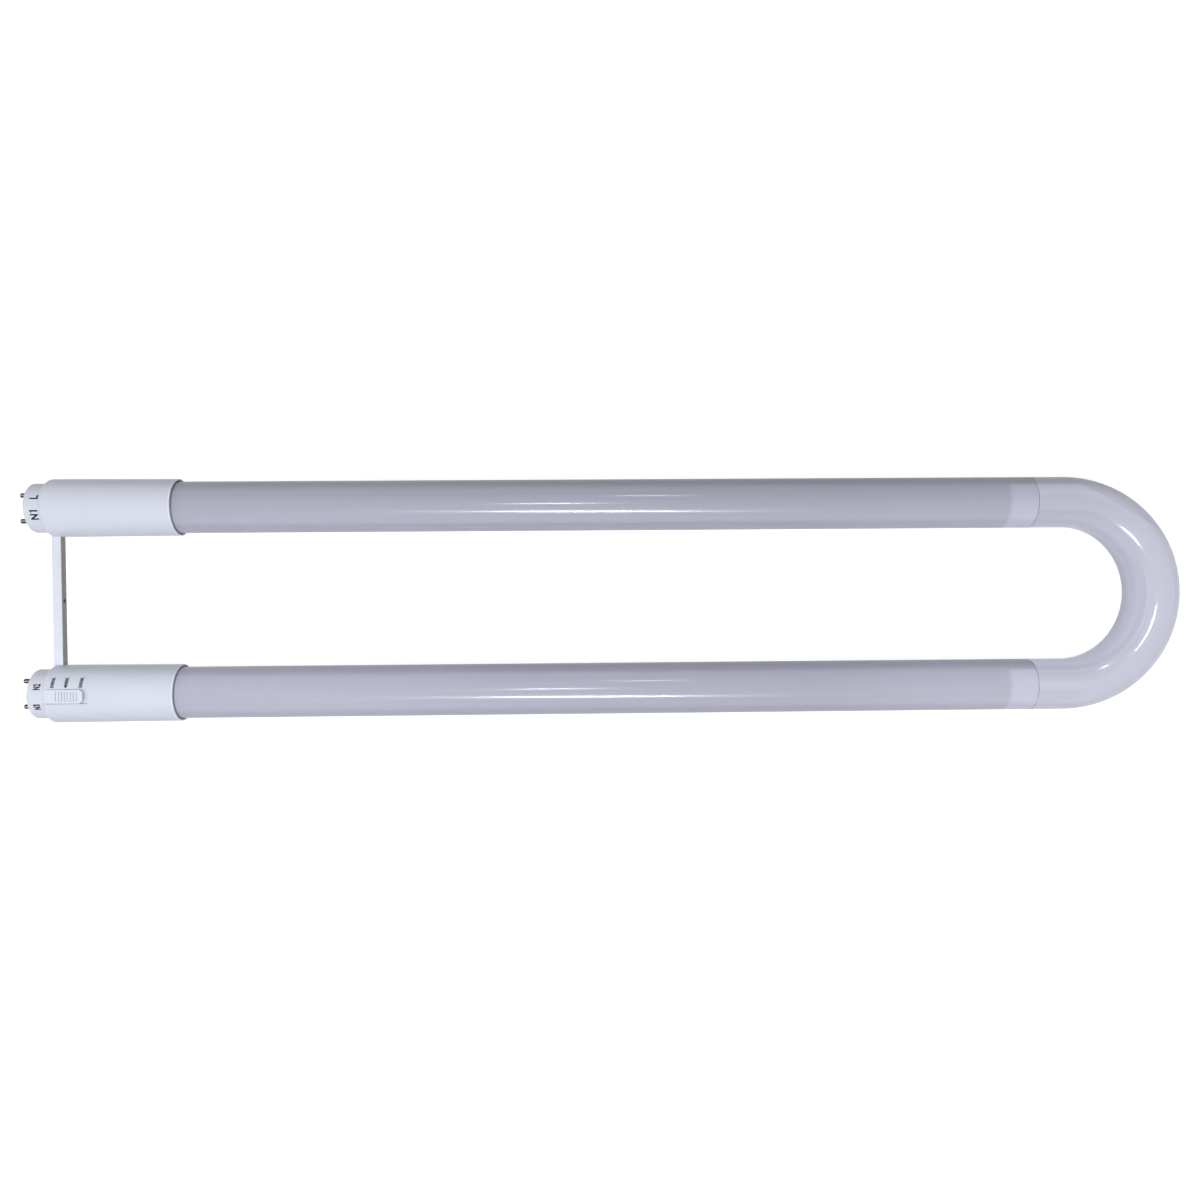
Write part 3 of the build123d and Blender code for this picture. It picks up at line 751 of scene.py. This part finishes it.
class Inner(NamedTuple):
    """One finish inside the lamp, and the nodes that have it.

    Its grain has so many cells in a metre along x, y and z, and turns from light to dark between low and high.
    """

    name: str
    light: tuple
    dark: tuple
    roughness: float
    metallic: float
    cells: tuple
    low: float
    high: float
    nodes: tuple


INNER_DEPTH = 0.05 * MM
INNER_FINISHES = (
    Inner("white_board", (0.80, 0.80, 0.76), (0.60, 0.64, 0.58), 0.45, 0.0, (420, 1100, 300), 0.52, 0.56,
          ("driver_board_a", "driver_board_b", "led_board_a", "led_board_b")),
    Inner("led_phosphor", (0.88, 0.70, 0.16), (0.80, 0.58, 0.10), 0.35, 0.0, (2500, 2500, 2500), 0.4, 0.7,
          ("leds_a", "leds_b")),
    Inner("bond_silicone", (0.80, 0.80, 0.80), (0.66, 0.66, 0.67), 0.6, 0.0, (160, 500, 500), 0.35, 0.7,
          ("board_bond_a", "board_bond_b")),
    Inner("ferrite", (0.10, 0.10, 0.105), (0.05, 0.05, 0.052), 0.7, 0.2, (3000, 3000, 3000), 0.4, 0.65,
          ("choke_core", "transformer_core")),
    Inner("copper_wire", (0.72, 0.36, 0.17), (0.38, 0.16, 0.07), 0.3, 1.0, (200, 200, 3600), 0.38, 0.6,
          ("choke_winding",)),
    Inner("black_resin", (0.055, 0.055, 0.06), (0.03, 0.03, 0.033), 0.55, 0.0, (4000, 4000, 4000), 0.35, 0.7,
          ("switch_knob", "switch_case", "fuse", "bridge_rectifier", "control_chip", "link_header_a",
           "link_header_b")),
    Inner("film_case", (0.72, 0.50, 0.10), (0.62, 0.42, 0.07), 0.4, 0.0, (900, 900, 900), 0.35, 0.7,
          ("film_capacitor",)),
    Inner("surge_coat", (0.09, 0.19, 0.48), (0.05, 0.12, 0.36), 0.4, 0.0, (1200, 1200, 1200), 0.35, 0.7,
          ("varistor",)),
    Inner("winding_tape", (0.84, 0.66, 0.13), (0.70, 0.50, 0.08), 0.4, 0.0, (250, 250, 2400), 0.45, 0.55,
          ("transformer_winding",)),
    Inner("can_sleeve", (0.17, 0.18, 0.21), (0.11, 0.12, 0.15), 0.35, 0.0, (500, 500, 1500), 0.4, 0.65,
          ("bulk_capacitor",)),
    Inner("wire_sleeve", (0.82, 0.82, 0.82), (0.70, 0.70, 0.71), 0.45, 0.0, (300, 300, 900), 0.35, 0.7,
          ("bend_wires",)),
)


class LAMP_OT_dress_inside(Operator):
    """Finish the boards and the pieces on them"""

    bl_idname = "lamp.dress_inside"
    bl_label = "Boards and their pieces"

    def execute(self, context):
        for finish in INNER_FINISHES:
            dress(inner_finish(finish), *finish.nodes)
        return {"FINISHED"}


def inner_finish(finish):
    """A two-colour finish with a grain of its own, as on a board's mask, ferrite, wound wire, lacquer or tape."""
    paint = new_paint(finish.name)
    grain = paint.grain(paint.place(), finish.cells, detail=3.0)
    mask = paint.rise(grain, finish.low, finish.high)
    return paint.finish(
        Base_Color=paint.blend(mask, finish.light, finish.dark),
        Metallic=finish.metallic,
        Roughness=finish.roughness + mask * 0.1,
        Normal=paint.bump(grain, 0.2, INNER_DEPTH),
    )


class Mark(NamedTuple):
    """One printed word, on the cap of a leg, where the cap has this radius.

    The station is its middle's distance from the pins' base, and the angle its turn from the top, in degrees. The
    station, height and width are in millimetres, and bold widens the strokes.
    """

    word: str
    leg: str
    radius: float
    station: float
    angle: float
    height: float
    width: float
    bold: float


TERMINAL_MARKS = {
    "terminal_marks_a": (
        Mark("L", "a", NOSE_R, 5.2, 22.0, 4.0, 2.2, 0.03),
        Mark("N1", "a", NOSE_R, 5.2, -20.0, 3.8, 4.9, 0.04),
    ),
    "terminal_marks_b": (
        Mark("N2", "b", NOSE_R, 4.75, 22.0, 3.5, 3.0, 0.055),
        Mark("N3", "b", NOSE_R, 4.65, -25.8, 3.4, 3.1, 0.06),
    ),
}
COLOUR_STATIONS = {"5000K": 13.3, "4000K": 19.8, "3000K": 26.9}
COLOUR_MARKS = tuple(
    Mark(word, "b", COLLAR_R, station, 28.5, 1.8, 5.7, 0.062) for word, station in COLOUR_STATIONS.items()
)

# How the words are drawn, in the font's own units
LETTER_GAP = 1.18
LETTER_CURVE = 5
LETTER_MERGE = 1e-5

# The flag of a printed 1: its drop as a share of the figure's height, and its edges as shares of that drop
FLAG_DROP = 0.15
FLAG_TIP = 1.8
FLAG_ROOT = 0.9

# How fine a word is cut to bend round the cap, how far outside the cap its rays start, and the ink's grain
MARK_CUT = 0.35 * MM
CAST_FROM = 6.0 * MM
INK_CELLS = 2600.0


def letters(word, bold):
    """A word as a flat mesh, from Blender's own font with its strokes widened."""
    curve = bpy.data.curves.new("letters", "FONT")
    curve.body = word
    curve.fill_mode = "FRONT"
    curve.offset = bold
    curve.space_character = LETTER_GAP
    curve.resolution_u = LETTER_CURVE
    holder = bpy.data.objects.new("letters", curve)
    bpy.context.scene.collection.objects.link(holder)
    graph = bpy.context.evaluated_depsgraph_get()
    flat = bpy.data.meshes.new_from_object(holder.evaluated_get(graph))
    bpy.data.objects.remove(holder)
    bpy.data.curves.remove(curve)
    return flat


def printed_word(mark, look):
    """A word as thin raised ink, pressed onto the cap that carries it."""
    flat = letters(mark.word, mark.bold)
    bm = bmesh.new()
    bm.from_mesh(flat)
    bpy.data.meshes.remove(flat)
    bmesh.ops.remove_doubles(bm, verts=bm.verts[:], dist=LETTER_MERGE)
    fit_flat(bm, mark.width * MM, mark.height * MM)
    if mark.word.endswith("1"):
        flag_one(bm, FLAG_DROP * mark.height * MM)
    for axis in (0, 1):
        cut_across(bm, axis, MARK_CUT)
    lid = bmesh.ops.extrude_face_region(bm, geom=bm.faces[:], use_keep_orig=True)
    raised = [part for part in lid["geom"] if isinstance(part, bmesh.types.BMVert)]
    bmesh.ops.translate(bm, verts=raised, vec=(0, 0, look.proud + look.sunk))
    bmesh.ops.recalc_face_normals(bm, faces=bm.faces[:])
    press_on(bm, mark, look.sunk)
    return bm


def flag_one(bm, drop):
    """Gives a flat word's last figure, a plain stem in this font, the flag of a printed 1."""
    last = max(bm.verts, key=lambda v: v.co.x)
    stem = {last}
    fresh = {last}
    while fresh:
        fresh = {edge.other_vert(v) for v in fresh for edge in v.link_edges} - stem
        stem |= fresh
    left = min(v.co.x for v in stem)
    top = max(v.co.y for v in stem)
    tip = left - drop
    corners = ((left, top), (tip, top - drop), (tip, top - FLAG_TIP * drop), (left, top - FLAG_ROOT * drop))
    verts = [bmesh.ops.create_vert(bm, co=(x, y, 0))["vert"][0] for x, y in corners]
    bmesh.ops.contextual_create(bm, geom=verts)


def fit_flat(bm, width, height):
    """Centres a flat word on the origin and gives it its width and height."""
    low = [min(v.co[k] for v in bm.verts) for k in (0, 1)]
    high = [max(v.co[k] for v in bm.verts) for k in (0, 1)]
    middle = Vector(((low[0] + high[0]) / 2, (low[1] + high[1]) / 2, 0))
    bmesh.ops.translate(bm, verts=bm.verts[:], vec=-middle)
    bmesh.ops.scale(bm, verts=bm.verts[:], vec=(width / (high[0] - low[0]), height / (high[1] - low[1]), 1))


def cut_across(bm, axis, spacing):
    """Cuts a flat word into strips, so that it can bend."""
    low = min(v.co[axis] for v in bm.verts)
    high = max(v.co[axis] for v in bm.verts)
    normal = Vector((1, 0, 0)) if axis == 0 else Vector((0, 1, 0))
    count = math.ceil((high - low) / spacing)
    for number in range(1, count):
        at = normal * (low + (high - low) * number / count)
        everything = bm.verts[:] + bm.edges[:] + bm.faces[:]
        bmesh.ops.bisect_plane(bm, geom=everything, plane_co=at, plane_no=normal)


def press_on(bm, mark, sunk):
    """Wraps a flat word round the cap: it reads across the leg, and its letters' tops point at the pins."""
    graph = bpy.context.evaluated_depsgraph_get()
    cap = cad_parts[f"end_cap_{mark.leg}"]
    surface = BVHTree.FromObject(cap, graph)
    for vert in bm.verts:
        angle = math.radians(mark.angle) + vert.co.x / mark.radius
        outward = Vector((0, math.sin(angle), math.cos(angle)))
        axis = Vector((BASE_X + mark.station * MM - vert.co.y, SIDES[mark.leg] * LEG_Y, AXIS_Z))
        hit, _, _, _ = surface.ray_cast(axis + outward * (mark.radius + CAST_FROM), -outward)
        if hit is None:
            raise ValueError(f"the mark {mark.word} misses cap {mark.leg}")
        vert.co = hit + outward * (vert.co.z - sunk)


def print_words(name, marks, look, material):
    """Several words as one piece."""
    whole = bmesh.new()
    for mark in marks:
        word = printed_word(mark, look)
        mesh = bpy.data.meshes.new(mark.word)
        word.to_mesh(mesh)
        word.free()
        whole.from_mesh(mesh)
        bpy.data.meshes.remove(mesh)
    return add_piece(name, whole, material, "lamp")


def print_ink(look):
    """Pad-print ink: dark, a little uneven where it is thin."""
    made = bpy.data.materials.get("print_ink")
    if made:
        return made
    paint = new_paint("print_ink")
    thin = paint.noise(paint.vector(*paint.place()), scale=INK_CELLS, detail=2.0)
    return paint.finish(
        Base_Color=paint.shade(look.ink, 0.7 + thin * 0.6),
        Roughness=0.55 + thin * 0.2,
        Specular_IOR_Level=0.12,
    )


class LAMP_OT_print_terminals(Operator):
    """Print the terminal letters on the noses"""

    bl_idname = "lamp.print_terminals"
    bl_label = "Terminal marks"

    def execute(self, context):
        look = context.scene.lamp_marks
        for name, marks in TERMINAL_MARKS.items():
            print_words(name, marks, look, print_ink(look))
        return {"FINISHED"}


class LAMP_OT_print_colours(Operator):
    """Print the light colours beside the switch"""

    bl_idname = "lamp.print_colours"
    bl_label = "Light colour marks"

    def execute(self, context):
        look = context.scene.lamp_marks
        print_words("colour_marks", COLOUR_MARKS, look, print_ink(look))
        return {"FINISHED"}


class LAMP_OT_seal_joints(Operator):
    """Lay sealant where each glass leg meets the bend"""

    bl_idname = "lamp.seal_joints"
    bl_label = "Sealant"

    def execute(self, context):
        look = context.scene.lamp_seal
        material = sealant(look)
        for leg, side in SIDES.items():
            add_piece(f"bend_seal_{leg}", seal_ring(look, side), material, "lamp")
        return {"FINISHED"}


# The bead of sealant: how deep it goes, how far it stands proud, its facets and its grain
SEAL_DEPTH = 0.4 * MM
SEAL_PROUD = 0.02 * MM
SEAL_CORNERS = 12
SEAL_STEPS = 96
SEAL_CELLS = 160.0


def seal_ring(look, side):
    """A flat bead spun round the leg's axis, most of it in the joint."""
    bm = bmesh.new()
    bmesh.ops.create_circle(bm, segments=SEAL_CORNERS, radius=0.5)
    bmesh.ops.scale(bm, verts=bm.verts[:], vec=(look.width, SEAL_DEPTH + SEAL_PROUD, 1))
    bmesh.ops.rotate(bm, verts=bm.verts[:], cent=(0, 0, 0), matrix=Matrix.Rotation(math.pi / 2, 3, "X"))
    middle = TUBE_R + SEAL_PROUD - (SEAL_DEPTH + SEAL_PROUD) / 2
    bmesh.ops.translate(bm, verts=bm.verts[:], vec=(SEAM_X, side * LEG_Y, AXIS_Z + middle))
    bmesh.ops.spin(
        bm, geom=bm.verts[:] + bm.edges[:], cent=(SEAM_X, side * LEG_Y, AXIS_Z), axis=(1, 0, 0),
        angle=2 * math.pi, steps=SEAL_STEPS, use_merge=True,
    )
    bmesh.ops.remove_doubles(bm, verts=bm.verts[:], dist=MERGE)
    bmesh.ops.recalc_face_normals(bm, faces=bm.faces[:])
    for face in bm.faces:
        face.smooth = True
    return bm


def sealant(look):
    """Grey sealant, thicker and darker in places round the joint."""
    paint = new_paint("sealant")
    thick = paint.noise(paint.vector(*paint.place()), scale=SEAL_CELLS, detail=3.0)
    return paint.finish(
        Base_Color=paint.shade(look.grey, 0.3 + paint.rise(thick, 0.38, 0.62) * 1.5),
        Roughness=0.4 + thick * 0.2,
        Specular_IOR_Level=0.3,
    )


class AreaLamp(NamedTuple):
    """A flat lamp that faces the object: its place, its size, its brightness and its turn in its own plane.

    Soft and gloss say what light it gives, and lights what it falls on: all, the bend alone or the rest.
    """

    name: str
    at: tuple
    size: tuple
    brightness: float
    shape: str = "RECTANGLE"
    turn: float = 0.0
    soft: bool = True
    gloss: bool = True
    lights: str = "all"


def strip(name, at, size, brightness, turn, lights):
    """An oval lamp that gives gloss alone."""
    return AreaLamp(name, at, size, brightness, "ELLIPSE", turn, soft=False, lights=lights)


LAMPS = (
    AreaLamp("key_panel", (0.0, -0.15, 0.42), (1.6, 0.2), 2.55, gloss=False),
    AreaLamp("high_panel", (0.25, -0.60, 1.30), (2.4, 0.6), 1.5, gloss=False),
    AreaLamp("end_panel", (-0.62, 0.22, 0.36), (0.5, 0.4), 0.9, gloss=False),
    AreaLamp("far_panel", (0.0, 1.30, 0.45), (2.4, 0.7), 0.8),
    AreaLamp("side_panel", (0.0, -1.30, 0.45), (2.4, 0.9), 0.9, soft=False),
    strip("near_strip", (0.02, -1.55, 2.50), (0.80, 0.30), 50.0, -22.0, "rest"),
    strip("near_tail", (0.0, -1.55, 2.49), (1.60, 0.16), 13.0, -22.0, "rest"),
    strip("top_strip", (-0.10, 0.19, 2.50), (0.24, 0.09), 95.0, 0.0, "rest"),
    strip("far_strip", (0.25, 1.90, 2.50), (0.22, 0.10), 55.0, 0.0, "rest"),
    strip("bend_arc", (0.30, 0.46, 2.50), (0.78, 0.24), 55.0, 51.0, "bend"),
    strip("bend_lens", (0.14, -1.42, 2.50), (0.78, 0.36), 46.0, 125.0, "bend"),
    strip("bend_patch", (0.77, 2.35, 2.50), (0.50, 0.28), 46.0, 28.0, "bend"),
)
LAMP_TURNS = "ZXY"
CAMERA_AT = (-0.01325, 0.0078, 0.4903)
CAMERA_TURN = (-1.127, -1.22, -0.436)
CAMERA_SENSOR = 36.0
CAMERA_NEAR = 0.01
FLOOR_SIZE = 12.0
FLOOR_DROP = 0.05 * MM
FLOOR_WHITE = 1.20
SEEN_RAYS = ("Is Camera Ray", "Is Glossy Ray", "Is Transmission Ray")


class LAMP_OT_set_stage(Operator):
    """Lay the floor, hang the lights and place the camera"""

    bl_idname = "lamp.set_stage"
    bl_label = "Stage"

    def execute(self, context):
        look = context.scene.lamp_stage
        lay_floor(look)
        light_sky(context.scene, look)
        lit = {name: bend_light(name) for name in ("bend", "rest")}
        for lamp in LAMPS:
            hang(lamp).light_linking.receiver_collection = lit.get(lamp.lights)
        place_camera(context.scene, look)
        context.scene.view_settings.view_transform = "Standard"
        return {"FINISHED"}


def seen(paint):
    """1 for rays from the camera, a gloss or a clear surface, and 0 for the rays that carry soft light."""
    path = paint.node("ShaderNodeLightPath")
    camera, gloss, clear = (Value(paint, path.outputs[name]) for name in SEEN_RAYS)
    return paint.larger_of(paint.larger_of(camera, gloss), clear)


def lay_floor(look):
    """A pale floor that shows white, and takes the lamp's shadow."""
    bm = bmesh.new()
    bmesh.ops.create_grid(bm, x_segments=1, y_segments=1, size=FLOOR_SIZE / 2)
    bmesh.ops.translate(bm, verts=bm.verts[:], vec=(0, 0, -FLOOR_DROP))
    mesh = bpy.data.meshes.new("floor")
    bm.to_mesh(mesh)
    bm.free()
    paint = new_paint("floor")
    matt = paint.node("ShaderNodeBsdfDiffuse", sockets={"Color": rgba([look.floor] * 3)}, out=0)
    glow = paint.node("ShaderNodeEmission", sockets={"Strength": seen(paint) * (FLOOR_WHITE - look.floor)}, out=0)
    both = paint.node("ShaderNodeAddShader", sockets={0: matt, 1: glow}, out=0)
    paint.node("ShaderNodeOutputMaterial", sockets={0: both})
    mesh.materials.append(paint.owner)
    floor = bpy.data.objects.new("floor", mesh)
    bpy.context.scene.collection.objects.link(floor)


def light_sky(scene, look):
    """Even light from all round, which shows white."""
    scene.world = bpy.data.worlds.new("sky")
    paint = Paint(scene.world)
    strength = look.sky + seen(paint) * (1.0 - look.sky)
    sky = paint.node("ShaderNodeBackground", sockets={"Color": (1, 1, 1, 1), "Strength": strength}, out=0)
    paint.node("ShaderNodeOutputWorld", sockets={0: sky})


def bend_light(name):
    """What a lamp lights: the bend alone, or all but the bend."""
    lit = bpy.data.collections.new(f"lit_{name}")
    lit.objects.link(bpy.data.objects["moulded_bend"])
    lit.collection_objects[0].light_linking.link_state = "INCLUDE" if name == "bend" else "EXCLUDE"
    return lit


def hang(lamp):
    """An area lamp that faces the middle of the object."""
    width, depth = lamp.size
    area = width * depth * (math.pi / 4 if lamp.shape == "ELLIPSE" else 1)
    light = bpy.data.lights.new(lamp.name, "AREA")
    light.shape = lamp.shape
    light.size = width
    light.size_y = depth
    light.energy = lamp.brightness * math.pi * area
    holder = bpy.data.objects.new(lamp.name, light)
    bpy.context.scene.collection.objects.link(holder)
    holder.location = lamp.at
    holder.rotation_mode = LAMP_TURNS
    holder.rotation_euler = aim(lamp)
    holder.visible_camera = False
    holder.visible_diffuse = lamp.soft
    holder.visible_glossy = lamp.gloss
    return holder


def aim(lamp):
    """Points a lamp's face at the object's middle line, after its turn in its own plane."""
    _, y, z = lamp.at
    return Euler((-math.atan2(y, z - AXIS_Z), 0, math.radians(lamp.turn)), LAMP_TURNS)


def place_camera(scene, look):
    """A camera with a wide lens, almost straight above the lamp."""
    camera = bpy.data.cameras.new("photo_camera")
    camera.lens = look.lens
    camera.sensor_width = CAMERA_SENSOR
    camera.clip_start = CAMERA_NEAR
    holder = bpy.data.objects.new("photo_camera", camera)
    scene.collection.objects.link(holder)
    holder.location = CAMERA_AT
    holder.rotation_euler = [math.radians(a) for a in CAMERA_TURN]
    scene.camera = holder


STEPS = (
    LAMP_OT_draw_legs,
    LAMP_OT_mould_bend,
    LAMP_OT_dress_caps,
    LAMP_OT_dress_pins,
    LAMP_OT_dress_inside,
    LAMP_OT_print_terminals,
    LAMP_OT_print_colours,
    LAMP_OT_seal_joints,
    LAMP_OT_set_stage,
)
LOOKS = {
    "lamp_glass": GlassLook,
    "lamp_plastic": PlasticLook,
    "lamp_metal": MetalLook,
    "lamp_marks": MarkLook,
    "lamp_seal": SealLook,
    "lamp_stage": StageLook,
}


class LAMP_PT_sidebar(Panel):
    """The steps that dress the lamp, and their sizes and colours"""

    bl_idname = "LAMP_PT_sidebar"
    bl_label = "U-bend LED tube"
    bl_space_type = "VIEW_3D"
    bl_region_type = "UI"
    bl_category = "Lamp"

    def draw(self, context):
        for step in STEPS:
            self.layout.operator(step.bl_idname)
        for name, look in LOOKS.items():
            box = self.layout.box()
            for key in look.__annotations__:
                box.prop(getattr(context.scene, name), key)


def register():
    for item in (*LOOKS.values(), *STEPS, LAMP_PT_sidebar):
        bpy.utils.register_class(item)
    for name, look in LOOKS.items():
        setattr(bpy.types.Scene, name, PointerProperty(type=look))


def unregister():
    for name in LOOKS:
        delattr(bpy.types.Scene, name)
    for item in reversed((*LOOKS.values(), *STEPS, LAMP_PT_sidebar)):
        bpy.utils.unregister_class(item)


def main():
    """Dresses the lamp step by step."""
    register()
    for step in STEPS:
        group, name = step.bl_idname.split(".")
        getattr(getattr(bpy.ops, group), name)()


if __name__ == "__main__":
    main()
